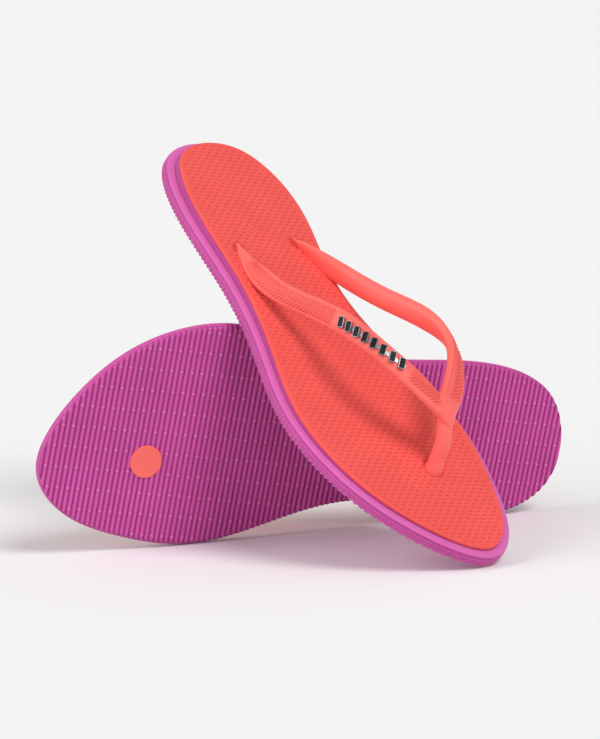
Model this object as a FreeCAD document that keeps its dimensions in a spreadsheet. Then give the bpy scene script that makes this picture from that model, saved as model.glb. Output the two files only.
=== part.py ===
"""A pair of thong sandals (flip-flops), one laid across the other.

Each sandal is a tread layer, a tapered midsole with a rounded rim, a thin footbed sheet, a Y-shaped
strap moulded in one piece with its toe post and three plugs, and a metal badge on the strap.

The right sandal is drawn in its own frame: the heel tip at the origin, +X to the toe, +Y to its inner
side, +Z up through the sole, and the ribs of the tread along Y. The left one is its mirror image. Two
poses put the pair on the floor, Z = 0: the left sandal stands on its inner edge, and the right one
lies across it with its toe on the floor.
"""
import FreeCAD, Part
import math
import os

Vector = FreeCAD.Vector

DIMENSIONS = [
    # sole
    ("sole_length", 250.0), ("toe_tip_across", 24.6),
    ("tread_thickness", 4.8), ("heel_height", 11.2), ("toe_height", 7.6),
    ("rim_height", 1.3), ("rim_round", 0.9), ("rim_inset", 0.3),
    ("midsole_inset", 4.7), ("footbed_inset", 4.5), ("footbed_thickness", 1.3), ("edge_round", 0.4),
    # strap: where its rear ends meet the footbed, its heading, and its toe post
    ("strap_from_heel", 69.1), ("strap_off_axis", -5.15), ("strap_heading", 10.1),
    ("post_along", 133.6), ("post_lean", 3.5), ("post_mid_height", 11.5),
    ("post_foot_radius", 4.0), ("post_radius", 3.4), ("nose_radius", 4.0),
    # strap stems and plugs under the footbed
    ("rear_stem_along", 5.0), ("rear_stem_across", 19.6),
    ("stem_radius", 2.4), ("toe_stem_radius", 3.2), ("stem_clearance", 0.1),
    ("rear_plug_radius", 6.4), ("toe_plug_radius", 7.4), ("plug_thickness", 1.6),
    # badge on the outer arm of the strap
    ("badge_from", 73.5), ("stud_pitch", 4.5),
    ("rail_width", 1.6), ("rail_thickness", 0.8), ("rail_sink", 0.45),
    ("stud_length", 5.0), ("stud_width", 2.9), ("stud_height", 1.3), ("stud_slant", 24.0),
    ("glue_line", 0.02),
    ("pin_radius", 0.6), ("pin_clearance", 0.03), ("pin_head_radius", 1.3), ("pin_head_height", 0.6),
    # poses of the two sandals on the floor
    ("right_x", -43.65), ("right_y", 77.3), ("right_z", 165.93),
    ("right_yaw", -57.9), ("right_pitch", 40.4), ("right_roll", -11.6),
    ("left_x", 116.55), ("left_y", 59.1), ("left_z", 25.29),
    ("left_yaw", -157.0), ("left_pitch", -9.3), ("left_roll", 81.9),
]

# Half widths of the sole, from its axis to its inner and its outer edge, at seven stations.
SOLE_STATIONS = [
    # from the heel, inner side, outer side
    (10.0, 21.1, 28.3),
    (45.0, 32.6, 39.8),
    (90.0, 28.3, 37.5),
    (130.0, 39.0, 41.0),
    (170.0, 54.0, 46.8),
    (208.0, 53.2, 35.8),
    (236.0, 44.2, 10.2),
]

# Stations of a strap arm. Along and across are in the strap's own heading, above is over the footbed.
ARM_STATIONS = [
    # along, across, above, half width, half thickness, tilt of the face from outward (0) to up (90)
    (0.0, 18.4, 0.0, 2.2, 1.5, 90.0),
    (10.0, 21.1, 1.2, 3.6, 2.0, 70.0),
    (20.0, 23.5, 3.6, 4.7, 2.5, 42.0),
    (34.0, 24.9, 8.4, 4.8, 2.75, 22.0),
    (55.0, 23.6, 18.6, 4.9, 2.8, 16.0),
    (76.0, 24.4, 28.1, 4.9, 2.75, 26.0),
    (92.0, 22.1, 31.4, 4.4, 2.6, 48.0),
    (108.0, 12.9, 29.4, 5.2, 2.6, 74.0),
    (121.8, 0.0, 22.4, 4.8, 3.0, 86.0),
]
ARM_COLUMNS = ("along", "across", "above", "half_width", "half_thickness", "tilt")
SOLE_COLUMNS = ("station", "inner", "outer")

STUD_COUNT = 8
PIN_PLACES = (1, 4, 7)  # gaps between studs, counted from the rail's end, that a pin goes through
STEM_RADII = [("stem_radius", "rear_plug_radius"), ("stem_radius", "rear_plug_radius"),
              ("toe_stem_radius", "toe_plug_radius")]
OVERRUN = 1.0           # how far a tool runs past the face it cuts
INSET_POINTS = 48       # points that an inset outline runs through
MARGIN = 20.0           # how far the cutting blocks run past the sole
BLOCK_WIDTH = 160.0
BLOCK_HEIGHT = 60.0

doc = FreeCAD.newDocument("Sandals")
sheet = doc.addObject("Spreadsheet::Sheet", "Dimensions")


def fill_sheet():
    """Write every driving dimension into the sheet, each with its own alias."""
    rows = list(DIMENSIONS)
    for columns, stations in ((SOLE_COLUMNS, SOLE_STATIONS), (ARM_COLUMNS, ARM_STATIONS)):
        for index, station in enumerate(stations):
            for column, value in zip(columns, station):
                rows.append((f"{column}_at_{index}", value))
    for row, (alias, value) in enumerate(rows, start=1):
        sheet.set(f"A{row}", alias)
        sheet.set(f"B{row}", str(value))
        sheet.setAlias(f"B{row}", alias)
    doc.recompute()


def size(alias):
    """Value of a driving dimension."""
    return float(getattr(sheet, alias))


def bind(item, **formulas):
    """Bind properties of an object to formulas in which a name in braces is a driving dimension."""
    for path, formula in formulas.items():
        item.setExpression(path.replace("__", "."), formula.format_map(Aliases()))
    return item


class Aliases(dict):
    """Turns a name in braces into the sheet's cell."""

    def __missing__(self, alias):
        return f"Dimensions.{alias}"


SLOPE = "atan(({heel_height} - {toe_height}) / {sole_length})"


def make(kind, name):
    return doc.addObject(kind, name)


def top_of_footbed(x):
    """Height of the footbed's upper face, which falls evenly from heel to toe."""
    return size("heel_height") - (size("heel_height") - size("toe_height")) * x / size("sole_length")


# ---------------------------------------------------------------- sole

def outline_curve():
    """Closed outline of the sole."""
    stations = range(len(SOLE_STATIONS))
    inner = [Vector(size(f"station_at_{i}"), size(f"inner_at_{i}"), 0) for i in stations]
    outer = [Vector(size(f"station_at_{i}"), -size(f"outer_at_{i}"), 0) for i in stations]
    toe = Vector(size("sole_length"), size("toe_tip_across"), 0)
    return closed_curve([Vector(0, 0, 0)] + inner + [toe] + outer[::-1])


def closed_curve(points):
    """Smooth closed curve; centripetal spacing keeps it from bulging between uneven points."""
    spacing = [0.0]
    for start, end in zip(points, points[1:] + points[:1]):
        spacing.append(spacing[-1] + math.sqrt(start.distanceToPoint(end)))
    curve = Part.BSplineCurve()
    curve.interpolate(Points=points, PeriodicFlag=True, Parameters=spacing)
    return curve


def outline_wire(name, inset=0.0):
    """Outline of the sole drawn in by an inset, as a closed wire."""
    curve = outline_curve()
    if inset:
        first, last = curve.FirstParameter, curve.LastParameter
        points = []
        for step in range(INSET_POINTS):
            here = first + (last - first) * step / INSET_POINTS
            inward = curve.tangent(here)[0].cross(Vector(0, 0, 1))
            points.append(curve.value(here) + inward * inset)
        curve = closed_curve(points)
    wire = make("Part::Feature", name)
    wire.Shape = Part.Wire(curve.toShape())
    return wire


def extrude(name, wire, bottom, height):
    """Upright slab over a wire, from one height up."""
    slab = make("Part::Extrusion", name)
    slab.Base = wire
    slab.DirMode = "Custom"
    slab.Dir = Vector(0, 0, 1)
    slab.Solid = True
    return bind(slab, LengthFwd=height, Placement__Base__z=bottom)


def sloped_block(name, bottom, height):
    """Block whose lower face is parallel to the footbed and at the given height over the heel tip."""
    block = make("Part::Box", name)
    corner = f"vector(-{MARGIN:g}; -{BLOCK_WIDTH / 2:g}; {bottom} + {MARGIN:g} * tan({SLOPE}))"
    return bind(block, Length="{sole_length} + %g" % (2 * MARGIN), Width=f"{BLOCK_WIDTH:g}",
                Height=height, Placement=f"placement({corner}; rotation(vector(0; 1; 0); {SLOPE}))")


def cylinder(name, radius, height, centre, bottom="0"):
    rod = make("Part::Cylinder", name)
    rod.Placement.Base = Vector(centre.x, centre.y, 0)
    return bind(rod, Radius=radius, Height=height, Placement__Base__z=bottom)


def cut(name, base, tool):
    result = make("Part::Cut", name)
    result.Base = base
    result.Tool = tool
    return result


def fuse(name, pieces):
    result = make("Part::MultiFuse", name)
    result.Shapes = pieces
    return result


def compound(name, pieces):
    result = make("Part::Compound", name)
    result.Links = pieces
    return result


def round_top_edge(name, slab, radius):
    """Round the edge that runs round the top of a slab."""
    doc.recompute()
    rings = [(edge.CenterOfMass.z, index) for index, edge in enumerate(slab.Shape.Edges, start=1)
             if edge.Length > size("sole_length")]
    rounded = make("Part::Fillet", name)
    rounded.Base = slab
    rounded.Edges = [(max(rings)[1], radius, radius)]
    return rounded


def stem_places():
    """Where the strap's stems go through the sole: outer, inner and toe."""
    along, across = size("rear_stem_along"), size("rear_stem_across")
    return [strap_point(along, -across, 0), strap_point(along, across, 0),
            strap_point(size("post_along"), 0, 0)]


def stem_holes():
    """Holes for the three stems and recesses for their plugs."""
    tools = []
    for index, (centre, (stem, plug)) in enumerate(zip(stem_places(), STEM_RADII)):
        tools.append(cylinder(f"stem_hole_{index}", "{%s} + {stem_clearance}" % stem,
                              "{heel_height} + %g" % (2 * OVERRUN), centre, f"-{OVERRUN:g}"))
        tools.append(cylinder(f"plug_seat_{index}", "{%s} + {stem_clearance}" % plug,
                              "{plug_thickness} + %g" % OVERRUN, centre, f"-{OVERRUN:g}"))
    return fuse("stem_holes", tools)


def make_sole():
    """Tread layer, midsole and footbed."""
    holes = stem_holes()
    outline = outline_wire("outline")
    outsole = cut("outsole", extrude("tread", outline, "0", "{tread_thickness}"), holes)

    rim_line = outline_wire("rim_line", size("rim_inset"))
    rim = extrude("rim", rim_line, "{tread_thickness}", "{rim_height}")
    rim = round_top_edge("rim_rounded", rim, size("rim_round"))
    core_line = outline_wire("core_line", size("midsole_inset"))
    core = extrude("core", core_line, "{tread_thickness}", "{heel_height}")
    above = sloped_block("above_midsole", "{heel_height} - {footbed_thickness}", f"{BLOCK_HEIGHT:g}")
    core = cut("core_sloped", core, above)
    midsole = cut("midsole", fuse("midsole_blank", [rim, core]), holes)

    footbed_line = outline_wire("footbed_line", size("footbed_inset"))
    bind(footbed_line, Placement="placement(vector(0; 0; {heel_height} - {footbed_thickness}); "
                                 "rotation(vector(0; 1; 0); %s))" % SLOPE)
    blank = extrude("footbed_blank", footbed_line, "0", "{footbed_thickness}")
    blank = round_top_edge("footbed_rounded", blank, size("edge_round"))
    footbed = cut("footbed", blank, holes)
    return {"outsole": outsole, "midsole": midsole, "footbed": footbed}


# ---------------------------------------------------------------- strap

def strap_point(along, across, above):
    """Point given in the strap's heading, in the sandal's frame."""
    turn = math.radians(size("strap_heading"))
    x = size("strap_from_heel") + along * math.cos(turn) - across * math.sin(turn)
    y = size("strap_off_axis") + along * math.sin(turn) + across * math.cos(turn)
    return Vector(x, y, top_of_footbed(x) + above)


def between(distances, values, distance):
    """Value at a distance, in a straight line between the stations on either side."""
    for start, end, near, far in zip(distances, distances[1:], values, values[1:]):
        if distance <= end:
            return near + (far - near) * (distance - start) / (end - start)
    return values[-1]


class Arm:
    """Centre line of one strap arm; side is 1 for the inner arm and -1 for the outer one."""

    def __init__(self, side):
        self.side = side
        stations = range(len(ARM_STATIONS))
        points = [strap_point(size(f"along_at_{i}"), side * size(f"across_at_{i}"),
                              size(f"above_at_{i}")) for i in stations]
        self.curve = Part.BSplineCurve()
        self.curve.interpolate(points)
        self.start = self.curve.FirstParameter
        self.stations = [0.0] + [self.curve.length(self.start, self.curve.parameter(point))
                                 for point in points[1:]]
        self.tilts = [size(f"tilt_at_{i}") for i in stations]
        self.half_thicknesses = [size(f"half_thickness_at_{i}") for i in stations]

    def half_thickness(self, distance):
        return between(self.stations, self.half_thicknesses, distance)

    def frame(self, distance):
        """Placement with X across the arm's broad face, Y out of that face and Z along the arm."""
        here = self.curve.parameterAtDistance(distance, self.start) if distance else self.start
        tangent = self.curve.tangent(here)[0]
        outward = Vector(0, 0, self.side).cross(tangent).normalize()
        upward = tangent.cross(outward).normalize() * self.side
        tilt = math.radians(between(self.stations, self.tilts, distance))
        face = outward * math.cos(tilt) + upward * math.sin(tilt)
        axes = FreeCAD.Rotation(face.cross(tangent), face, tangent, "ZXY")
        return FreeCAD.Placement(self.curve.value(here), axes)

    def on_face(self, distance, out, sideways=0.0):
        """Placement at a height out of the centre line, along the broad face's normal."""
        return self.frame(distance) * FreeCAD.Placement(Vector(sideways, out, 0), FreeCAD.Rotation())


def loft(name, sections):
    solid = make("Part::Loft", name)
    solid.Sections = sections
    solid.Solid = True
    return solid


def make_arm(name, arm):
    """Oval strap arm, lofted through its stations."""
    sections = []
    for index, distance in enumerate(arm.stations):
        oval = make("Part::Ellipse", f"{name}_oval_{index}")
        oval.Placement = arm.frame(distance)
        sections.append(bind(oval, MajorRadius="{half_width_at_%d}" % index,
                             MinorRadius="{half_thickness_at_%d}" % index))
    return loft(name, sections)


def make_post():
    """Toe post, from just under the footbed's face up into the fork of the strap."""
    foot, lean, middle = size("post_along"), size("post_lean"), size("post_mid_height")
    fork = len(ARM_STATIONS) - 1
    places = [(foot, -OVERRUN, "post_foot_radius"), (foot - lean / 3, middle / 3, "post_radius"),
              (foot - lean, middle, "post_radius"),
              (size(f"along_at_{fork}"), size(f"above_at_{fork}"), "post_radius")]
    points = [strap_point(along, 0, above) for along, above, _ in places]
    sections = []
    for index, (point, place) in enumerate(zip(points, places)):
        heading = points[min(index + 1, len(points) - 1)] - points[max(index - 1, 0)]
        circle = make("Part::Circle", f"post_circle_{index}")
        circle.Placement = FreeCAD.Placement(point, FreeCAD.Rotation(Vector(0, 0, 1), heading))
        sections.append(bind(circle, Radius="{%s}" % place[2]))
    return loft("post", sections)


def make_strap(arms, badge_seat):
    """Both arms, the toe post, the stems through the sole and the plugs under it, as one moulding."""
    fork = len(ARM_STATIONS) - 1
    nose = bind(make("Part::Sphere", "nose"), Radius="{nose_radius}")
    nose.Placement.Base = strap_point(size(f"along_at_{fork}"), 0, size(f"above_at_{fork}"))
    upper = fuse("strap_upper", [make_arm("outer_arm", arms[0]), make_arm("inner_arm", arms[1]),
                                 make_post(), nose])
    below = sloped_block("below_footbed", "{heel_height} - %g / cos(%s)" % (BLOCK_HEIGHT, SLOPE),
                         f"{BLOCK_HEIGHT:g}")
    pieces = [cut("strap_trimmed", upper, below)]
    for index, (centre, (stem, plug)) in enumerate(zip(stem_places(), STEM_RADII)):
        top = top_of_footbed(centre.x) + OVERRUN / 2
        pieces.append(cylinder(f"stem_{index}", "{%s}" % stem, f"{top:.3f}", centre))
        pieces.append(cylinder(f"plug_{index}", "{%s}" % plug, "{plug_thickness}", centre))
    return cut("strap", fuse("strap_whole", pieces), badge_seat)


# ---------------------------------------------------------------- badge

def make_rail(arm):
    """Thin strip let into the outer face of the arm, which it follows."""
    sections = []
    for index in range(STUD_COUNT + 1):
        distance = size("badge_from") + index * size("stud_pitch")
        face = make("Part::Plane", f"rail_section_{index}")
        out = arm.half_thickness(distance) - size("rail_sink")
        face.Placement = arm.on_face(distance, out, -size("rail_width") / 2)
        sections.append(bind(face, Length="{rail_width}", Width="{rail_thickness}"))
    rail = loft("rail", sections)
    rail.Ruled = True
    return rail


def make_studs(arm):
    """Slanted bars in a row on the rail."""
    slant = FreeCAD.Placement(Vector(), FreeCAD.Rotation(Vector(0, 1, 0), size("stud_slant")))
    corner = Vector(-size("stud_length") / 2, 0, -size("stud_width") / 2)
    studs = []
    for index in range(STUD_COUNT):
        distance = size("badge_from") + (index + 0.5) * size("stud_pitch")
        out = arm.half_thickness(distance) - size("rail_sink") + size("rail_thickness")
        stud = make("Part::Box", f"stud_{index}")
        stud.Placement = (arm.on_face(distance, out + size("glue_line")) * slant
                          * FreeCAD.Placement(corner, FreeCAD.Rotation()))
        studs.append(bind(stud, Length="{stud_length}", Width="{stud_height}", Height="{stud_width}"))
    return compound("badge_studs", studs)


def pin_rods(name, arm, extra="0"):
    """Headed pins through the rail and the arm, between the studs, fatter by the extra radius."""
    out_of_face = FreeCAD.Placement(Vector(), FreeCAD.Rotation(Vector(1, 0, 0), -90))
    rods = []
    for index in PIN_PLACES:
        distance = size("badge_from") + index * size("stud_pitch")
        half = arm.half_thickness(distance)
        back = -half - size("pin_head_height") / 2
        shank = bind(make("Part::Cylinder", f"{name}_shank_{index}"), Radius="{pin_radius} + " + extra)
        shank.Height = half - size("rail_sink") + size("rail_thickness") - back
        head = bind(make("Part::Cylinder", f"{name}_head_{index}"),
                    Radius="{pin_head_radius} + " + extra, Height="{pin_head_height} + " + extra)
        for rod in (shank, head):
            rod.Placement = arm.on_face(distance, back) * out_of_face
        rods.append(fuse(f"{name}_{index}", [shank, head]))
    return rods


def make_badge(arm):
    """Rail, studs and pins, and the tool that cuts their seats into the strap."""
    rail = make_rail(arm)
    seats = pin_rods("pin_seat", arm, "{pin_clearance}")
    pieces = {"badge_rail": cut("badge_rail", rail, fuse("pin_seats", seats)),
              "badge_studs": make_studs(arm),
              "badge_pins": compound("badge_pins", pin_rods("pin", arm))}
    return pieces, fuse("badge_seat", [rail] + seats)


# ---------------------------------------------------------------- pair

def make_sandal():
    """All pieces of the right sandal, in its own frame."""
    outer_arm, inner_arm = Arm(-1), Arm(1)
    badge, badge_seat = make_badge(outer_arm)
    pieces = make_sole()
    pieces["strap"] = make_strap([outer_arm, inner_arm], badge_seat)
    pieces.update(badge)
    return pieces


def mirrored(name, piece):
    """The left sandal's copy of a piece."""
    mirror = make("Part::Mirroring", name)
    mirror.Source = piece
    mirror.Normal = Vector(0, 1, 0)
    return mirror


def posed(side, name, piece):
    """A piece of one sandal, placed where that sandal lies."""
    node = compound(f"{side}_{name}", [piece])
    node.Label = node.Name
    axes = ("x", "y", "z", "yaw", "pitch", "roll")
    cells = "; ".join("{%s_%s}" % (side, axis) for axis in axes[:3])
    turns = "; ".join("{%s_%s}" % (side, axis) for axis in axes[3:])
    return bind(node, Placement=f"placement(vector({cells}); rotation({turns}))")


def check(nodes):
    """Stop if any object failed or any piece is not sound."""
    for item in doc.Objects:
        if {"Invalid", "Error"} & set(item.State):
            raise RuntimeError(f"{item.Name} failed: {item.State}")
    for node in nodes:
        if node.Shape.isNull() or not node.Shape.isValid() or not node.Shape.Solids:
            raise RuntimeError(f"{node.Name} is not a sound solid")


def main():
    fill_sheet()
    pieces = make_sandal()
    nodes = [posed("right", name, piece) for name, piece in pieces.items()]
    nodes += [posed("left", name, mirrored(f"mirrored_{name}", piece)) for name, piece in pieces.items()]
    doc.recompute()
    check(nodes)
    os.makedirs("parts", exist_ok=True)
    for node in nodes:
        node.Shape.exportStep(f"parts/{node.Label}.step")
        print(f"{node.Label}: {len(node.Shape.Solids)} solid(s), {node.Shape.Volume:.0f} mm3")


main()
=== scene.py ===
import math

import bmesh
import bpy
import numpy as np
from mathutils import Euler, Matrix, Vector


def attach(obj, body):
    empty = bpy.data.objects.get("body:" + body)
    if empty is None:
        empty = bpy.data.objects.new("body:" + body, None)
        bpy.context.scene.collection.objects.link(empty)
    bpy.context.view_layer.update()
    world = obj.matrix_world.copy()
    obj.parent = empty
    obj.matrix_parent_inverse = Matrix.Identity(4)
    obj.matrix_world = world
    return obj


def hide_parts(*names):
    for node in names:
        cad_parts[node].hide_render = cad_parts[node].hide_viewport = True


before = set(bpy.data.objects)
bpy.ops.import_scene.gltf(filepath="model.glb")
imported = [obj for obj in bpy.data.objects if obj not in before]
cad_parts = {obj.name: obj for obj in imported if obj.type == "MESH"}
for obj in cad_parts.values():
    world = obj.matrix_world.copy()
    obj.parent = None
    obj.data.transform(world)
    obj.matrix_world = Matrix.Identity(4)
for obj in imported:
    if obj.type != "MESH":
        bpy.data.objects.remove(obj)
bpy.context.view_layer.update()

MM = 0.001

# ---------------------------------------------------------------- the sandal's own sizes, in mm

LENGTH = 250.0
HEEL_HEIGHT, TOE_HEIGHT = 11.2, 7.6
TREAD_TOP = 4.8
FOOTBED_THICKNESS = 1.3
MIDSOLE_INSET, FOOTBED_INSET = 4.7, 4.5
HEEL_SETBACK, HEEL_SETBACK_END = 0.55, 30.0
LAYER_GAP = 0.02
HEEL_TIP, TOE_TIP = (0.0, 0.0), (LENGTH, 24.6)
SOLE_STATIONS = [
    # from the heel, inner half width, outer half width
    (10.0, 21.1, 28.3), (45.0, 32.6, 39.8), (90.0, 28.3, 37.5), (130.0, 39.0, 41.0),
    (170.0, 54.0, 46.8), (208.0, 53.2, 35.8), (236.0, 44.2, 10.2),
]
STRAP_FROM_HEEL, STRAP_OFF_AXIS, STRAP_HEADING = 69.1, -5.15, math.radians(10.1)
ARM_STATIONS = np.array([
    # along, across, above, half width, half thickness, tilt of the face
    (0.0, 18.4, 0.0, 2.2, 1.5, 90.0),
    (10.0, 21.1, 1.2, 3.6, 2.0, 70.0),
    (20.0, 23.5, 3.6, 4.7, 2.5, 42.0),
    (34.0, 24.9, 8.4, 4.8, 2.75, 22.0),
    (55.0, 23.6, 18.6, 4.9, 2.8, 16.0),
    (76.0, 24.4, 28.1, 4.9, 2.75, 26.0),
    (92.0, 22.1, 31.4, 4.4, 2.6, 48.0),
    (108.0, 12.9, 29.4, 5.2, 2.6, 74.0),
    (121.8, 0.0, 22.4, 4.8, 3.0, 86.0),
])
# half width and tilt of the inner arm at its first stations, where it leans out more than the outer arm
INNER_REAR = [(3.2, 34.0), (4.6, 12.0), (4.9, 0.0), (4.9, -6.0), (4.9, -7.0), (4.9, 8.0)]
ARM_RUN_IN, ARM_FULL_FROM = 2.5, 4.0
ARM_ANCHOR_ALONG, ARM_ANCHOR_ACROSS = 0.5, 18.4
BADGE_FROM, BADGE_TO = 71.0, 112.0
POST_ALONG, POST_LEAN, POST_MID_HEIGHT = 133.6, 3.5, 11.5
POST_RADIUS, POST_FOOT_RADIUS = 3.4, 4.0
REAR_STEM_ALONG, REAR_STEM_ACROSS = 5.0, 19.6
REAR_PLUG_RADIUS, TOE_PLUG_RADIUS = 6.4, 7.4
STUD_LENGTH, STUD_WIDTH = 5.0, 2.9

# x, y, z in mm and yaw, pitch, roll in degrees of each sandal
POSES = {
    "right": ((-43.65, 77.3, 165.93), (-57.9, 40.4, -11.6)),
    "left": ((116.55, 59.1, 25.29), (-157.0, -9.3, 81.9)),
}

# surface detail; relief is 1 in a groove, -1 on a raised dot; by it the rubbers paint shade into grooves and
# a highlight onto raised places
RIB_PITCH, RIB_DEPTH, RIB_GROOVE, RIB_CROWN = 2.41, 0.9, 0.36, 0.14
DOT_RADIUS, DOT_HEIGHT = 0.7, 0.4
DOT_ROW, DOT_STEP = 9.4, 2 * RIB_PITCH
DOT_MARGIN, PLUG_MARGIN, DOT_RELIEF = 2.4, 1.2, -0.6
WALL_RIB, WALL_LINES, WALL_LINE_RELIEF = 0.34, 3.5, 0.8
TREAD_COLUMNS, TREAD_SIDE_POINTS = 60, 28
BEAD = [
    # inset, height over the tread, relief: positive is painted shade in the groove under the bead, negative a
    # painted highlight on the bead's top
    (0.5, 0.0, 0.5), (0.3, 0.1, 0.2), (0.22, 0.2, 0.0), (0.3, 0.3, 0.3), (0.62, 0.4, 0.85), (0.56, 0.5, 0.5),
    (0.46, 0.62, 0.0), (0.46, 0.78, -0.35), (0.6, 0.94, -0.35), (0.86, 1.09, -0.35), (1.25, 1.22, -0.35),
    (1.8, 1.32, -0.35), (2.4, 1.38, -0.35), (3.1, 1.38, -0.35), (3.7, 1.31, -0.35), (4.05, 1.18, -0.35),
    (4.25, 1.04, 0.1), (4.4, 1.0, 0.5),
]
STEP = [
    # inset, share of the climb from the bead to the footbed, relief, here painted shade on the step up to the
    # footbed
    (4.5, 0.12, 0.6), (4.6, 0.35, 0.6), (4.66, 0.6, 0.5), (4.7, 0.85, 0.5), (4.72, 1.0, 0.5),
]
DASH_ALONG, DASH_ACROSS, DASH_DEPTH = 2.17, 4.44, 0.32
FOOTBED_COLUMNS = 150
DIMPLE_DEPTH, ARM_DIMPLE, POST_DIMPLE = 0.5, 4.5, 6.0
BRAID_PITCH, BRAID_SLANT, BRAID_DEPTH, BRAID_SUNK = 1.9, 0.95, 0.55, 0.12


# ---------------------------------------------------------------- curves

def periodic_curve(points):
    """Smooth closed curve through the points, with centripetal spacing."""
    points = np.array(points, float)
    count = len(points)
    step = np.sqrt(np.linalg.norm(np.roll(points, -1, axis=0) - points, axis=1))
    knots = np.concatenate([[0.0], np.cumsum(step)])
    slope = (np.roll(points, -1, axis=0) - points) / step[:, None]
    system = np.zeros((count, count))
    for i in range(count):
        system[i, i - 1] = step[i]
        system[i, i] = 2 * (step[i] + step[i - 1])
        system[i, (i + 1) % count] = step[i - 1]
    before = np.roll(slope, 1, axis=0)
    rhs = 3 * (step[:, None] * before + np.roll(step, 1)[:, None] * slope)
    speed = np.linalg.solve(system, rhs)

    def at(where):
        where = np.asarray(where) % knots[-1]
        i = np.clip(np.searchsorted(knots, where, side="right") - 1, 0, count - 1)
        h = step[i][:, None]
        u = ((where - knots[i]) / step[i])[:, None]
        j = (i + 1) % count
        return ((1 + 2 * u) * (1 - u) ** 2 * points[i] + u * (1 - u) ** 2 * h * speed[i]
                + u ** 2 * (3 - 2 * u) * points[j] + u ** 2 * (u - 1) * h * speed[j])
    return at, knots[-1]


def spline(knots, values):
    """Open cubic spline with ends that follow the first and last four points."""
    knots, values = np.asarray(knots, float), np.asarray(values, float)
    count = len(knots)
    step = np.diff(knots)
    slope = np.diff(values) / step
    system, rhs = np.eye(count), np.zeros(count)
    for i in range(1, count - 1):
        system[i, i - 1:i + 2] = step[i], 2 * (step[i] + step[i - 1]), step[i - 1]
        rhs[i] = 3 * (step[i] * slope[i - 1] + step[i - 1] * slope[i])
    rhs[0] = np.polyder(np.poly1d(np.polyfit(knots[:4], values[:4], 3)))(knots[0])
    rhs[-1] = np.polyder(np.poly1d(np.polyfit(knots[-4:], values[-4:], 3)))(knots[-1])
    speed = np.linalg.solve(system, rhs)

    def at(where):
        where = np.asarray(where, float)
        i = np.clip(np.searchsorted(knots, where, side="right") - 1, 0, count - 2)
        u = (where - knots[i]) / step[i]
        return ((1 + 2 * u) * (1 - u) ** 2 * values[i] + u * (1 - u) ** 2 * step[i] * speed[i]
                + u ** 2 * (3 - 2 * u) * values[i + 1] + u ** 2 * (u - 1) * step[i] * speed[i + 1])
    return at


def smooth(low, high, value):
    """0 below low, 1 above high and a smooth rise between them."""
    u = np.clip((np.asarray(value, float) - low) / (high - low), 0, 1)
    return u * u * (3 - 2 * u)


def footbed_top(x):
    return HEEL_HEIGHT - (HEEL_HEIGHT - TOE_HEIGHT) * x / LENGTH


def make_outline():
    """Dense outline of the sole, anticlockwise from above, with its outward normals."""
    inner = [(x, y) for x, y, _ in SOLE_STATIONS]
    outer = [(x, -y) for x, _, y in SOLE_STATIONS]
    at, end = periodic_curve([HEEL_TIP] + inner + [TOE_TIP] + outer[::-1])
    where = np.linspace(0, end, 6000, endpoint=False)
    points = at(where)
    ahead = at(where + 1e-3) - at(where - 1e-3)
    ahead /= np.linalg.norm(ahead, axis=1)[:, None]
    return points, np.stack([-ahead[:, 1], ahead[:, 0]], axis=1)


OUTLINE, OUTWARD = make_outline()


def side_curves():
    """Outline's inner and outer sides as functions of x: y and the outward normal."""
    first, last = OUTLINE[:, 0].argmin(), OUTLINE[:, 0].argmax()
    order = np.roll(np.arange(len(OUTLINE)), -first)
    split = list(order).index(last)
    return [order[:split + 1], np.concatenate([[order[0]], order[:split - 1:-1]])]


SIDES = side_curves()


def side_at(side, x):
    """Points and outward normals on one side of the outline at stations x."""
    index = SIDES[side]
    along = OUTLINE[index, 0]
    y = np.interp(x, along, OUTLINE[index, 1])
    normal = np.stack([np.interp(x, along, OUTWARD[index, k]) for k in (0, 1)], axis=1)
    normal /= np.linalg.norm(normal, axis=1)[:, None]
    return np.stack([x, y], axis=1), normal


def stations(step, tip_step=0.03, grow=1.25):
    """Stations from tip to tip that crowd together at the rounded ends."""
    low, high = OUTLINE[:, 0].min(), OUTLINE[:, 0].max()
    near, gap = [], tip_step
    reach = 0.0
    while gap < step:
        reach += gap
        near.append(reach)
        gap *= grow
    near = np.array(near)
    inside = np.arange(low + reach + step, high - reach - step / 2, step)
    return np.concatenate([[low + 1e-3], low + near, inside, (high - near)[::-1], [high - 1e-3]])


# ---------------------------------------------------------------- meshes

class Sandal:
    """Turns points of the right sandal's own frame into the row frame, mirrored for the left one."""

    def __init__(self, side):
        self.side = side
        place, turn = POSES[side]
        yaw, pitch, roll = (math.radians(angle) for angle in turn)
        self.turn = np.array(Euler((roll, pitch, yaw), "XYZ").to_matrix())
        self.place = np.array(place)
        self.flip = 1.0 if side == "right" else -1.0
        self.body = side + "_sandal"

    def world(self, points):
        points = np.asarray(points, float) * (1.0, self.flip, 1.0)
        return (points @ self.turn.T + self.place) * MM

    def add(self, name, shell, material, slot, replaced):
        """One piece of this sandal as a smooth-shaded mesh object that stands for a CAD node."""
        mesh = bpy.data.meshes.new(self.side + "_" + name)
        points, faces = np.concatenate(shell.points), shell.faces
        if self.flip < 0:
            faces = [tuple(reversed(face)) for face in faces]
        mesh.from_pydata(self.world(points).tolist(), [], faces)
        mesh.polygons.foreach_set("use_smooth", [True] * len(mesh.polygons))
        mesh.materials.append(material)
        own = mesh.attributes.new("own", "FLOAT_VECTOR", "POINT")
        own.data.foreach_set("vector", (points * MM).ravel())
        # relief carries painted shade (positive) and painted highlight (negative) into the rubber's colour
        relief = mesh.attributes.new("relief", "FLOAT", "POINT")
        relief.data.foreach_set("value", np.concatenate(shell.reliefs))
        mesh.validate()
        mesh.update()
        piece = bpy.data.objects.new(self.side + "_" + name, mesh)
        bpy.context.scene.collection.objects.link(piece)
        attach(piece, self.body)
        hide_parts(self.side + "_" + replaced)


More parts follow.
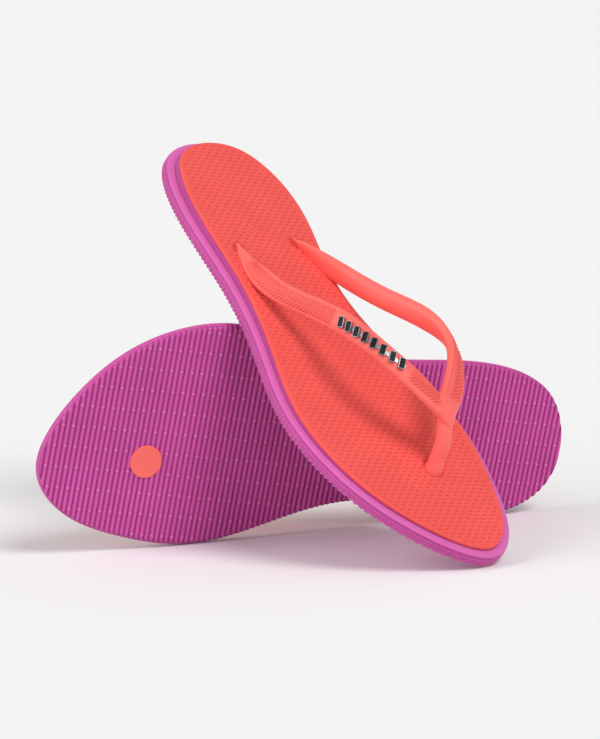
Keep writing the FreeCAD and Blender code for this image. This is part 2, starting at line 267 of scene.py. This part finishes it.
class Shell:
    """Collects the points, faces and reliefs of one piece: relief is 1 in a groove and -1 on a raised dot,
    and sets painted shade and painted highlight in the rubber's colour.
    """

    def __init__(self):
        self.points, self.faces, self.reliefs, self.count = [], [], [], 0

    def add_rings(self, rings, relief=0.0, slab=None):
        """Closed tube of faces through rings of points, capped at both ends; slab is as in end_cap."""
        rows, columns = rings.shape[:2]
        base = self.count
        self.points.append(rings.reshape(-1, 3))
        self.reliefs.append(np.broadcast_to(relief, (rows, columns)).ravel())
        self.count += rows * columns
        for i in range(rows - 1):
            for j in range(columns):
                a, b = base + i * columns + j, base + i * columns + (j + 1) % columns
                self.faces.append((a, b, b + columns, a + columns))
        last = base + (rows - 1) * columns
        self.faces += [face[::-1] for face in end_cap(base, columns, slab)]
        self.faces += end_cap(last, columns, slab)


def end_cap(start, columns, slab):
    """Faces that close the ring at start: one flat face, or for a sole narrow strips from side to side.

    slab is (points on the lower face, points up each side) of a ring made by slab_rings.
    """
    ring = range(start, start + columns)
    if slab is None:
        return [tuple(ring)]
    below, steps = slab
    inner = [ring[below + k] for k in range(steps)]
    outer = [ring[columns - 1 - k] for k in range(steps)]
    strips = [(inner[k], inner[k + 1], outer[k + 1], outer[k]) for k in range(1, steps - 2)]
    lower = (outer[1], outer[0], *ring[:below], inner[0], inner[1])
    upper = (inner[-2], inner[-1], *ring[below + steps:columns - steps], outer[-1], outer[-2])
    return [lower, *strips, upper]


def slab_rings(x, wall, bottom, top, across_bottom, across_top):
    """Closed rings round the sole, one for each station.

    wall is a function of side points that gives (inset, height) for each step up the side; bottom and
    top give the heights of the lower and upper face at (x, y).
    """
    sides = [side_at(side, x) for side in (0, 1)]
    profiles = []
    for side in (0, 1):
        point, normal = sides[side]
        inset, height = wall(point)
        plan = point[:, None, :] - normal[:, None, :] * inset[:, :, None]
        profiles.append(np.concatenate([plan, height[:, :, None]], axis=2))
    inner, outer = profiles

    def face(start, end, count, height_at):
        share = np.linspace(0, 1, count + 2)[1:-1][None, :, None]
        plan = start[:, None, :2] * (1 - share) + end[:, None, :2] * share
        height = height_at(plan[:, :, 0], plan[:, :, 1])
        return np.concatenate([plan, height[:, :, None]], axis=2)

    lower = face(outer[:, 0], inner[:, 0], across_bottom, bottom)
    upper = face(inner[:, -1], outer[:, -1], across_top, top)
    return np.concatenate([lower, inner, upper, outer[:, ::-1]], axis=1)


def rib_height(x):
    """Height of the tread's ribbed face: rib tops low, narrow grooves between them."""
    phase = np.abs((x / RIB_PITCH) % 1.0 - 0.5) * 2
    groove = smooth(1 - RIB_GROOVE * 1.5, 1 - RIB_GROOVE * 0.4, phase)
    crown = RIB_CROWN * np.minimum(phase / (1 - RIB_GROOVE), 1.0) ** 2
    return DOT_HEIGHT + crown + RIB_DEPTH * groove


def dome(shell, x, y, radius, low, high):
    """Small closed raised dot on the tread, coloured paler by its relief as a painted highlight."""
    rings = []
    for share in (1.0, 0.86, 0.5, 0.12):
        turn = np.linspace(0, 2 * math.pi, 11)[:-1]
        height = high + (low - high) * math.sqrt(max(0.0, 1 - share ** 2))
        rings.append(np.stack([x + radius * share * 1.25 * np.cos(turn), y + radius * share * np.sin(turn),
                               np.full(10, height)], axis=1))
    shell.add_rings(np.array(rings)[:, ::-1], DOT_RELIEF)


def inside_sole(x, y, margin):
    if not OUTLINE[:, 0].min() + margin < x < OUTLINE[:, 0].max() - margin:
        return False
    inner, outer = (side_at(side, np.array([x]))[0][0, 1] for side in (0, 1))
    high, low = max(inner, outer), min(inner, outer)
    return low + margin < y < high - margin


def strap_point(along, across, above):
    """Points given in the strap's heading, in the sandal's frame."""
    along, across, above = (np.asarray(value, float) for value in (along, across, above))
    x = STRAP_FROM_HEEL + along * math.cos(STRAP_HEADING) - across * math.sin(STRAP_HEADING)
    y = STRAP_OFF_AXIS + along * math.sin(STRAP_HEADING) + across * math.cos(STRAP_HEADING)
    return np.stack([x, y, footbed_top(x) + above], axis=-1)


PLUGS = [(strap_point(REAR_STEM_ALONG, -REAR_STEM_ACROSS, 0), REAR_PLUG_RADIUS),
         (strap_point(REAR_STEM_ALONG, REAR_STEM_ACROSS, 0), REAR_PLUG_RADIUS),
         (strap_point(POST_ALONG, 0, 0), TOE_PLUG_RADIUS)]


def heel_setback(point):
    """Extra inset of the upper layers round the back of the heel."""
    return HEEL_SETBACK * (1 - smooth(0.0, HEEL_SETBACK_END, point[:, 0]))[:, None]


def make_tread(sandal):
    """Tread layer: cross ribs with raised dots below, and fine lines round its side."""
    x = stations(0.3)
    share = np.linspace(0, 1, TREAD_SIDE_POINTS)
    line = 0.5 + 0.5 * np.sin(share * math.pi * 2 * WALL_LINES)

    def wall(point):
        low = rib_height(point[:, 0])[:, None] + 0.05
        height = low + (TREAD_TOP - low) * share[None, :]
        edges = 0.35 * (1 - smooth(0, 0.12, share)) + 0.2 * smooth(0.93, 1.0, share)
        inset = 0.05 + WALL_RIB * line + edges
        return np.broadcast_to(inset, height.shape), height

    def bottom(px, py):
        height = rib_height(px)
        for place, radius in PLUGS:
            apart = np.hypot(px - place[0], py - place[1])
            height = np.where(apart < radius - 0.5, 1.2, height)
        return height

    shell = Shell()
    rings = slab_rings(x, wall, bottom, lambda px, py: np.full(px.shape, TREAD_TOP), TREAD_COLUMNS, 2)
    relief = np.zeros(rings.shape[:2])
    low = rings[:, :TREAD_COLUMNS, 2]
    # painted shade: the rib grooves are coloured darker by their depth
    relief[:, :TREAD_COLUMNS] = np.clip((low - DOT_HEIGHT - RIB_CROWN) / RIB_DEPTH, 0, 1)
    # painted shade: the fine grooves round the side are coloured darker
    wall_lines = WALL_LINE_RELIEF * line ** 2
    relief[:, TREAD_COLUMNS:TREAD_COLUMNS + TREAD_SIDE_POINTS] = wall_lines
    relief[:, -TREAD_SIDE_POINTS:] = wall_lines[::-1]
    shell.add_rings(rings, relief, (TREAD_COLUMNS, TREAD_SIDE_POINTS))
    for row in range(-7, 7):
        y = (row + 0.5) * DOT_ROW
        for step in range(int(LENGTH / DOT_STEP) + 1):
            place = step * DOT_STEP + (row % 2 + 0.5) * RIB_PITCH
            clear = all(math.hypot(place - p[0], y - p[1]) > radius + PLUG_MARGIN for p, radius in PLUGS)
            if clear and inside_sole(place, y, DOT_MARGIN):
                dome(shell, place, y, DOT_RADIUS, 0.0, DOT_HEIGHT + 0.25)
    sandal.add("tread", shell, SOLE, "sole", "outsole")


def make_midsole(sandal):
    """Midsole: a groove over the tread, a broad rounded bead, a ledge, and a step up to the footbed."""
    inset, rise, side = np.array(BEAD + STEP).T
    rise, climb = rise[:len(BEAD)] + TREAD_TOP + LAYER_GAP, rise[len(BEAD):]
    below = across = 4

    def top(px):
        return footbed_top(px) - FOOTBED_THICKNESS - LAYER_GAP

    def wall(point):
        high = top(point[:, 0])[:, None]
        lower = np.minimum(rise[None, :], high)
        upper = rise[-1] + (high - rise[-1]) * climb[None, :]
        setback = heel_setback(point) * (inset[None, :] / MIDSOLE_INSET) ** 2
        return inset[None, :] + setback, np.concatenate([lower, upper], axis=1)

    shell = Shell()
    rings = slab_rings(stations(0.8), wall, lambda px, py: np.full(px.shape, TREAD_TOP + LAYER_GAP),
                       lambda px, py: top(px), below, across)
    relief = np.zeros(rings.shape[:2])
    # painted shade and painted highlight from the relief column of BEAD and STEP
    relief[:, below:below + len(side)] = side
    relief[:, -len(side):] = side[::-1]
    shell.add_rings(rings, relief, (below, len(side)))
    sandal.add("midsole_body", shell, SOLE, "sole", "midsole")


def dash_pattern(px, py):
    """Rows of short shallow dashes, each row shifted by half a dash from the last."""
    row = px / DASH_ALONG
    index = np.floor(row)
    down = np.abs(row - index - 0.5) * 2
    shift = 0.5 * (index % 2)
    side = np.abs((py / DASH_ACROSS + shift) % 1.0 - 0.5) * 2
    return (1 - smooth(0.08, 0.6, down)) * (1 - smooth(0.3, 0.75, side))


def make_footbed(sandal):
    """Footbed sheet with a rounded edge and a fine pattern of dashes, pressed in round the strap."""
    turn = np.linspace(0, math.pi / 2, 5)
    inset = FOOTBED_INSET + np.concatenate([[0.35, 0.12, 0.0, 0.0], 0.5 * (1 - np.cos(turn))])
    rise = np.concatenate([[-FOOTBED_THICKNESS, -1.26, -1.15, -0.7], -0.5 + 0.5 * np.sin(turn)])
    heel, toe = OUTLINE[:, 0].min(), OUTLINE[:, 0].max()
    below = 2
    dimples = [(strap_point(ARM_ANCHOR_ALONG, -ARM_ANCHOR_ACROSS, 0), ARM_DIMPLE),
               (strap_point(ARM_ANCHOR_ALONG, ARM_ANCHOR_ACROSS, 0), ARM_DIMPLE),
               (strap_point(POST_ALONG, 0, 0), POST_DIMPLE)]

    def wall(point):
        return inset[None, :] + heel_setback(point), footbed_top(point[:, 0])[:, None] + rise[None, :]

    def upper(px, py):
        edge = np.minimum(smooth(heel + 5, heel + 9, px), 1 - smooth(toe - 9, toe - 5, px))
        share = np.abs(np.linspace(-1, 1, px.shape[1] + 2)[1:-1])[None, :]
        edge = edge * (1 - smooth(0.93, 0.97, share))
        height = footbed_top(px) - DASH_DEPTH * dash_pattern(px, py) * edge
        for place, radius in dimples:
            apart = np.hypot(px - place[0], py - place[1])
            height = height - DIMPLE_DEPTH * (1 - smooth(radius * 0.62, radius, apart))
        return height

    shell = Shell()
    rings = slab_rings(stations(0.36), wall, lambda px, py: footbed_top(px) - FOOTBED_THICKNESS, upper,
                       below, FOOTBED_COLUMNS)
    face = slice(below + len(rise), below + len(rise) + FOOTBED_COLUMNS)
    relief = np.zeros(rings.shape[:2])
    # painted shade: the dashes and the dents round the strap are coloured darker by their depth
    relief[:, face] = np.clip((footbed_top(rings[:, face, 0]) - rings[:, face, 2]) / DASH_DEPTH, 0, 1)
    shell.add_rings(rings, relief, (below, len(rise)))
    sandal.add("footbed_sheet", shell, FOOTBED, "footbed", "footbed")


class Arm:
    """Centre line, faces and sizes of one strap arm; side is 1 for the inner arm, -1 for the outer."""

    def __init__(self, side):
        self.side = side
        rows = ARM_STATIONS
        points = strap_point(rows[:, 0], side * rows[:, 1], rows[:, 2])
        self.knots = np.concatenate([[0], np.cumsum(np.linalg.norm(np.diff(points, axis=0), axis=1))])
        self.path = [spline(self.knots, points[:, k]) for k in range(3)]
        half_width, half_thick, tilt = rows[:, 3:6].T.copy()
        if side > 0:
            half_width[:len(INNER_REAR)], tilt[:len(INNER_REAR)] = np.transpose(INNER_REAR)
        self.sizes = [spline(self.knots, values) for values in (half_width, half_thick, tilt)]
        self.length = self.knots[-1]

    def centre(self, s):
        return np.stack([axis(s) for axis in self.path], axis=1)

    def frames(self, s):
        """Centres, width directions and outward face directions."""
        inside = np.clip(s, 0.01, self.length - 0.01)
        tangent = self.centre(inside + 0.01) - self.centre(inside - 0.01)
        tangent /= np.linalg.norm(tangent, axis=1)[:, None]
        on_path = np.clip(s, 0, self.length)
        centre = self.centre(on_path) + tangent * (s - on_path)[:, None]
        outward = np.cross([0, 0, float(self.side)], tangent)
        outward /= np.linalg.norm(outward, axis=1)[:, None]
        upward = np.cross(tangent, outward) * self.side
        tilt = np.radians(self.sizes[2](inside))[:, None]
        face = outward * np.cos(tilt) + upward * np.sin(tilt)
        return centre, np.cross(face, tangent), face


def power(value, exponent):
    return np.sign(value) * np.abs(value) ** exponent


def braid(s, w):
    """Depth of a herringbone of slanted grooves on either side of the middle of the face."""
    slant = np.abs(w) * BRAID_SLANT
    side_shift = np.where(w > 0, 0.0, 0.5)
    phase = ((s + slant) / BRAID_PITCH + side_shift) % 1.0
    groove = 1 - smooth(0.12, 0.42, np.abs(phase - 0.5))
    middle = 1 - smooth(0.1, 0.34, np.abs(w))
    return np.maximum(groove, middle)


def arm_surface(arm, plain=None):
    """Rings and reliefs of one arm, with a herringbone on its outer face except in the plain stretch."""
    s = np.concatenate([np.arange(-ARM_RUN_IN, arm.length, 0.3), [arm.length]])
    centre, width, face = arm.frames(s)
    inside = np.clip(s, 0, arm.length)
    taper = smooth(s[0], ARM_FULL_FROM, s)
    half_width = arm.sizes[0](inside) * (0.45 + 0.55 * taper)
    half_thick = arm.sizes[1](inside) * (0.3 + 0.7 * taper)
    turn = np.linspace(0, 2 * math.pi, 73)[:-1]
    across, out = power(np.cos(turn), 0.86), power(np.sin(turn), 0.86)
    w = half_width[:, None] * across[None, :]
    depth = half_thick[:, None] * out[None, :]
    band = (1 - smooth(0.66, 0.8, np.abs(w) / half_width[:, None])) * smooth(0.4, 0.6, out)[None, :]
    along = smooth(10, 14, s) * (1 - smooth(arm.length - 9, arm.length - 5, s))
    if plain:
        start, end = plain
        along = along * (1 - smooth(start - 3, start, s) * (1 - smooth(end, end + 3, s)))
    relief = band * along[:, None] * (BRAID_SUNK + BRAID_DEPTH * braid(s[:, None], w))
    depth = depth - relief
    rings = centre[:, None, :] + width[:, None, :] * w[:, :, None] + face[:, None, :] * depth[:, :, None]
    # the returned relief paints shade into the herringbone's grooves and its sunk band
    return rings, np.clip(relief / BRAID_DEPTH, 0, 1)


def tube(points, radii, sides=40, step=0.5):
    """Rings of a smooth round tube through points with radii."""
    points = np.asarray(points, float)
    knots = np.concatenate([[0], np.cumsum(np.linalg.norm(np.diff(points, axis=0), axis=1))])
    where = np.linspace(0, knots[-1], int(knots[-1] / step) + 2)
    path = np.stack([spline(knots, points[:, k])(where) for k in range(3)], axis=1)
    radius = spline(knots, radii)(where)
    ahead = np.gradient(path, axis=0)
    ahead /= np.linalg.norm(ahead, axis=1)[:, None]
    first = np.cross(ahead, [0.0, 1.0, 0.0])
    first /= np.linalg.norm(first, axis=1)[:, None]
    second = np.cross(ahead, first)
    turn = np.linspace(0, 2 * math.pi, sides + 1)[:-1]
    return (path[:, None, :] + first[:, None, :] * (radius[:, None] * np.cos(turn))[:, :, None]
            + second[:, None, :] * (radius[:, None] * np.sin(turn))[:, :, None])


def make_plug(shell, place, radius):
    """Round plug that fills its seat in the tread, with a soft edge and a slight dish."""
    profile = [(radius, 1.6), (radius, 0.42), (radius - 0.12, 0.26), (radius - 0.4, 0.16),
               (radius - 1.2, 0.14), (radius * 0.6, 0.17), (radius * 0.25, 0.2)]
    turn = np.linspace(0, 2 * math.pi, 65)[:-1]
    rings = []
    for ring, height in profile:
        rings.append(np.stack([place[0] + ring * np.cos(turn), place[1] + ring * np.sin(turn),
                               np.full(turn.shape, height)], axis=1))
    shell.add_rings(np.array(rings)[:, ::-1])


def make_strap(sandal):
    """Strap in one moulding: two arms, the pointed hood over the toe post, the post and the plugs."""
    shell = Shell()
    rings, relief = arm_surface(Arm(-1), plain=(BADGE_FROM, BADGE_TO))
    shell.add_rings(rings[:, ::-1], relief[:, ::-1])
    shell.add_rings(*arm_surface(Arm(1)))
    post = strap_point([POST_ALONG, POST_ALONG, POST_ALONG - 1.2, POST_ALONG - POST_LEAN, 125.6, 122.6],
                       [0.0] * 6, [-1.6, 0.2, 3.9, POST_MID_HEIGHT, 18.4, 22.2])
    shell.add_rings(tube(post, [POST_FOOT_RADIUS + 0.35, POST_FOOT_RADIUS, POST_RADIUS + 0.1, POST_RADIUS,
                                POST_RADIUS, POST_RADIUS - 0.1]))
    shell.add_rings(hood_rings())
    for place, radius in PLUGS:
        make_plug(shell, place, radius)
    sandal.add("strap_moulding", shell, STRAP, "strap", "strap")


def hood_rings():
    """Pointed front of the strap, where both arms run together over the post."""
    rows = np.array([
        # along, above, half width, half thickness
        (113.6, 26.6, 0.8, 1.0), (115.6, 26.0, 3.4, 2.1), (118.8, 24.9, 5.9, 2.8), (122.0, 23.2, 5.8, 3.2),
        (124.6, 21.6, 4.2, 2.9), (126.6, 20.2, 2.4, 2.1), (127.8, 19.2, 0.9, 1.0),
    ])
    count = 60
    knots = np.arange(len(rows), dtype=float)
    where = np.linspace(0, knots[-1], count)
    along, above, wide, thick = (spline(knots, rows[:, k])(where) for k in range(4))
    turn = np.linspace(0, 2 * math.pi, 49)[:-1]
    heading = np.stack([np.gradient(along), np.zeros(count), np.gradient(above)], axis=1)
    heading /= np.linalg.norm(heading, axis=1)[:, None]
    lift = np.stack([-heading[:, 2], np.zeros(count), heading[:, 0]], axis=1)
    rings = []
    for i in range(count):
        side = wide[i] * power(np.cos(turn), 0.95)
        out = thick[i] * power(np.sin(turn), 0.95)
        rings.append(strap_point(along[i] + lift[i, 0] * out, side, above[i] + lift[i, 2] * out))
    return np.array(rings)


def make_studs(sandal, materials):
    """Bevelled badge studs, dark on their faces and bright on their sides."""
    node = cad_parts[sandal.side + "_badge_studs"]
    work = bmesh.new()
    work.from_mesh(node.data)
    bmesh.ops.remove_doubles(work, verts=work.verts, dist=1e-6)
    bmesh.ops.dissolve_limit(work, angle_limit=math.radians(3), verts=work.verts, edges=work.edges)
    work.faces.ensure_lookup_table()
    below = Vector(sandal.world(strap_point(60.0, 0.0, 5.0)[None])[0])
    face_area = STUD_LENGTH * STUD_WIDTH * MM * MM
    tops = [face for face in work.faces if face.calc_area() > face_area * 0.9
            and face.normal.dot(face.calc_center_median() - below) > 0]
    for face in work.faces:
        face.material_index = 1
    for face in tops:
        face.material_index = 0
    bmesh.ops.bevel(work, geom=list(work.edges), offset=0.22 * MM, segments=3, profile=0.6, affect="EDGES",
                    material=1)
    mesh = bpy.data.meshes.new(sandal.side + "_badge_bars")
    work.to_mesh(mesh)
    work.free()
    for material in materials:
        mesh.materials.append(material)
    piece = bpy.data.objects.new(sandal.side + "_badge_bars", mesh)
    bpy.context.scene.collection.objects.link(piece)
    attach(piece, sandal.body)
    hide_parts(sandal.side + "_badge_studs")


# ---------------------------------------------------------------- materials

class Nodes:
    """Small helper that builds a node tree."""

    def __init__(self, name):
        self.material = bpy.data.materials.new(name)
        self.material.use_nodes = True
        self.tree = self.material.node_tree
        self.shader = self.tree.nodes["Principled BSDF"]

    def node(self, kind, **inputs):
        node = self.tree.nodes.new(kind)
        for name, value in inputs.items():
            socket = node.inputs[name.replace("_", " ")]
            if isinstance(value, bpy.types.NodeSocket):
                self.tree.links.new(value, socket)
            else:
                socket.default_value = value
        return node

    def link(self, output, target):
        self.tree.links.new(output, self.shader.inputs[target])

    def ramp(self, value, low, high, start=0.3, end=0.7):
        node = self.tree.nodes.new("ShaderNodeValToRGB")
        node.color_ramp.elements[0].position = start
        node.color_ramp.elements[0].color = (*low, 1)
        node.color_ramp.elements[1].position = end
        node.color_ramp.elements[1].color = (*high, 1)
        self.tree.links.new(value, node.inputs["Fac"])
        return node.outputs["Color"]

    def bump(self, height, strength, distance):
        node = self.node("ShaderNodeBump", Strength=strength, Distance=distance, Height=height)
        self.link(node.outputs["Normal"], "Normal")
        return node


def own_place(nodes):
    """Coordinates in the sandal's own frame, stored on the mesh."""
    node = nodes.tree.nodes.new("ShaderNodeAttribute")
    node.attribute_name = "own"
    return node.outputs["Vector"]


def rubber(name, low, high, rough_low, rough_high, grain, grain_depth, sheen, sunk_shade, raised_highlight):
    """Soft rubber: faint mottling in colour and gloss, a fine matt grain, and colours for the relief: painted
    shade in sunk places and a painted highlight on raised ones.
    """
    nodes = Nodes(name)
    place = own_place(nodes)
    broad = nodes.node("ShaderNodeTexNoise", Vector=place, Scale=45.0, Detail=4.0, Roughness=0.55)
    colour = nodes.ramp(broad.outputs["Fac"], low, high)
    relief = nodes.tree.nodes.new("ShaderNodeAttribute")
    relief.attribute_name = "relief"
    # relief above 0 mixes in the painted shade colour, relief below 0 the painted highlight colour
    for target, sign, most in ((sunk_shade, 1.0, 0.85), (raised_highlight, -1.0, 0.5)):
        share = nodes.node("ShaderNodeMapRange", Value=relief.outputs["Fac"])
        share.inputs["From Max"].default_value = sign
        share.inputs["To Max"].default_value = most
        mix = nodes.tree.nodes.new("ShaderNodeMix")
        mix.data_type = "RGBA"
        nodes.tree.links.new(share.outputs["Result"], mix.inputs[0])
        nodes.tree.links.new(colour, mix.inputs[6])
        mix.inputs[7].default_value = (*target, 1)
        colour = mix.outputs[2]
    nodes.link(colour, "Base Color")
    patch = nodes.node("ShaderNodeTexNoise", Vector=place, Scale=160.0, Detail=3.0)
    rough = nodes.node("ShaderNodeMapRange", Value=patch.outputs["Fac"])
    rough.inputs["To Min"].default_value = rough_low
    rough.inputs["To Max"].default_value = rough_high
    nodes.link(rough.outputs["Result"], "Roughness")
    fine = nodes.node("ShaderNodeTexNoise", Vector=place, Scale=grain, Detail=2.0)
    nodes.bump(fine.outputs["Fac"], 0.35, grain_depth)
    nodes.shader.inputs["Specular IOR Level"].default_value = 0.35
    nodes.shader.inputs["Sheen Weight"].default_value = sheen
    nodes.shader.inputs["Sheen Roughness"].default_value = 0.5
    return nodes.material


def metal(name, low, high, rough):
    """Plated metal with faint polishing marks."""
    nodes = Nodes(name)
    coords = nodes.tree.nodes.new("ShaderNodeTexCoord")
    noise = nodes.node("ShaderNodeTexNoise", Vector=coords.outputs["Object"], Scale=900.0, Detail=3.0)
    nodes.link(nodes.ramp(noise.outputs["Fac"], low, high), "Base Color")
    nodes.bump(noise.outputs["Fac"], 0.08, 0.0001)
    nodes.shader.inputs["Metallic"].default_value = 1.0
    nodes.shader.inputs["Roughness"].default_value = rough
    return nodes.material


def enamel(name, low, high):
    """Dark enamel with a slight orange-peel."""
    nodes = Nodes(name)
    coords = nodes.tree.nodes.new("ShaderNodeTexCoord")
    noise = nodes.node("ShaderNodeTexNoise", Vector=coords.outputs["Object"], Scale=1500.0, Detail=2.0)
    nodes.link(nodes.ramp(noise.outputs["Fac"], low, high), "Base Color")
    nodes.bump(noise.outputs["Fac"], 0.1, 0.00005)
    nodes.shader.inputs["Roughness"].default_value = 0.45
    nodes.shader.inputs["Specular IOR Level"].default_value = 0.15
    return nodes.material


# the darker colour given to each rubber is painted shade for grooves and dents, the paler one a painted
# highlight for raised dots and the bead
SOLE = rubber("sole_rubber", (0.58, 0.066, 0.335), (0.65, 0.080, 0.385), 0.42, 0.58, 2600.0, 0.00006, 0.25,
              sunk_shade=(0.26, 0.012, 0.145), raised_highlight=(0.86, 0.27, 0.64))
FOOTBED = rubber("footbed_rubber", (0.82, 0.082, 0.066), (0.88, 0.096, 0.078), 0.62, 0.78, 3200.0, 0.00005,
                 0.1, sunk_shade=(0.66, 0.045, 0.038), raised_highlight=(0.9, 0.13, 0.11))
STRAP = rubber("strap_rubber", (0.90, 0.135, 0.112), (0.96, 0.155, 0.130), 0.38, 0.5, 2400.0, 0.00003, 0.1,
               sunk_shade=(0.74, 0.070, 0.058), raised_highlight=(0.95, 0.2, 0.17))
CHROME = metal("badge_chrome", (0.30, 0.29, 0.30), (0.42, 0.41, 0.42), 0.4)
ENAMEL = enamel("badge_enamel", (0.006, 0.005, 0.006), (0.016, 0.014, 0.015))

for side in ("right", "left"):
    sandal = Sandal(side)
    make_tread(sandal)
    make_midsole(sandal)
    make_footbed(sandal)
    make_strap(sandal)
    make_studs(sandal, [ENAMEL, CHROME])
    for part in ("badge_rail", "badge_pins"):
        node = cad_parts[side + "_" + part]
        node.data.materials.clear()
        node.data.materials.append(CHROME)

# ---------------------------------------------------------------- floor, light and camera

FLOOR_SIZE = 60.0
floor_mesh = bpy.data.meshes.new("floor")
floor_mesh.from_pydata([(-FLOOR_SIZE, -FLOOR_SIZE, 0), (FLOOR_SIZE, -FLOOR_SIZE, 0),
                        (FLOOR_SIZE, FLOOR_SIZE, 0), (-FLOOR_SIZE, FLOOR_SIZE, 0)], [], [(0, 1, 2, 3)])
floor = bpy.data.objects.new("floor", floor_mesh)
bpy.context.scene.collection.objects.link(floor)
floor_nodes = Nodes("floor_paint")
floor_nodes.shader.inputs["Base Color"].default_value = (0.91, 0.91, 0.91, 1)
floor_nodes.shader.inputs["Roughness"].default_value = 0.9
floor_mesh.materials.append(floor_nodes.material)

world = bpy.data.worlds.new("studio")
bpy.context.scene.world = world
world.use_nodes = True
sky = world.node_tree.nodes["Background"]
sky.inputs["Color"].default_value = (1.0, 1.0, 1.0, 1)
sky.inputs["Strength"].default_value = 0.36
backdrop = world.node_tree.nodes.new("ShaderNodeBackground")
backdrop.inputs["Color"].default_value = (0.9, 0.9, 0.9, 1)
seen = world.node_tree.nodes.new("ShaderNodeLightPath")
choice = world.node_tree.nodes.new("ShaderNodeMixShader")
world.node_tree.links.new(seen.outputs["Is Camera Ray"], choice.inputs["Fac"])
world.node_tree.links.new(sky.outputs["Background"], choice.inputs[1])
world.node_tree.links.new(backdrop.outputs["Background"], choice.inputs[2])
world.node_tree.links.new(choice.outputs["Shader"], world.node_tree.nodes["World Output"].inputs["Surface"])


def sun(name, direction, strength, spread):
    """Distant soft light that shines along a direction."""
    data = bpy.data.lights.new(name, "SUN")
    data.energy = strength
    data.angle = math.radians(spread)
    light = bpy.data.objects.new(name, data)
    bpy.context.scene.collection.objects.link(light)
    light.rotation_euler = Vector(direction).to_track_quat("-Z", "Y").to_euler()


sun("key", (-0.42, 0.52, -0.74), 1.65, 28)
sun("side", (0.80, 0.30, -0.52), 1.4, 40)
sun("front", (0.12, 0.97, -0.2), 0.45, 60)

camera_data = bpy.data.cameras.new("camera")
camera_data.sensor_width = 36.0
camera_data.lens = 222.606
camera_data.clip_end = 200.0
camera = bpy.data.objects.new("camera", camera_data)
bpy.context.scene.collection.objects.link(camera)
camera.location = (-0.0012, -1.99357, 0.38598)
camera.rotation_euler = tuple(math.radians(angle) for angle in (81.18954, 1.13146, -0.17536))
bpy.context.scene.camera = camera
bpy.context.scene.view_settings.view_transform = "Standard"
bpy.context.scene.view_settings.look = "None"
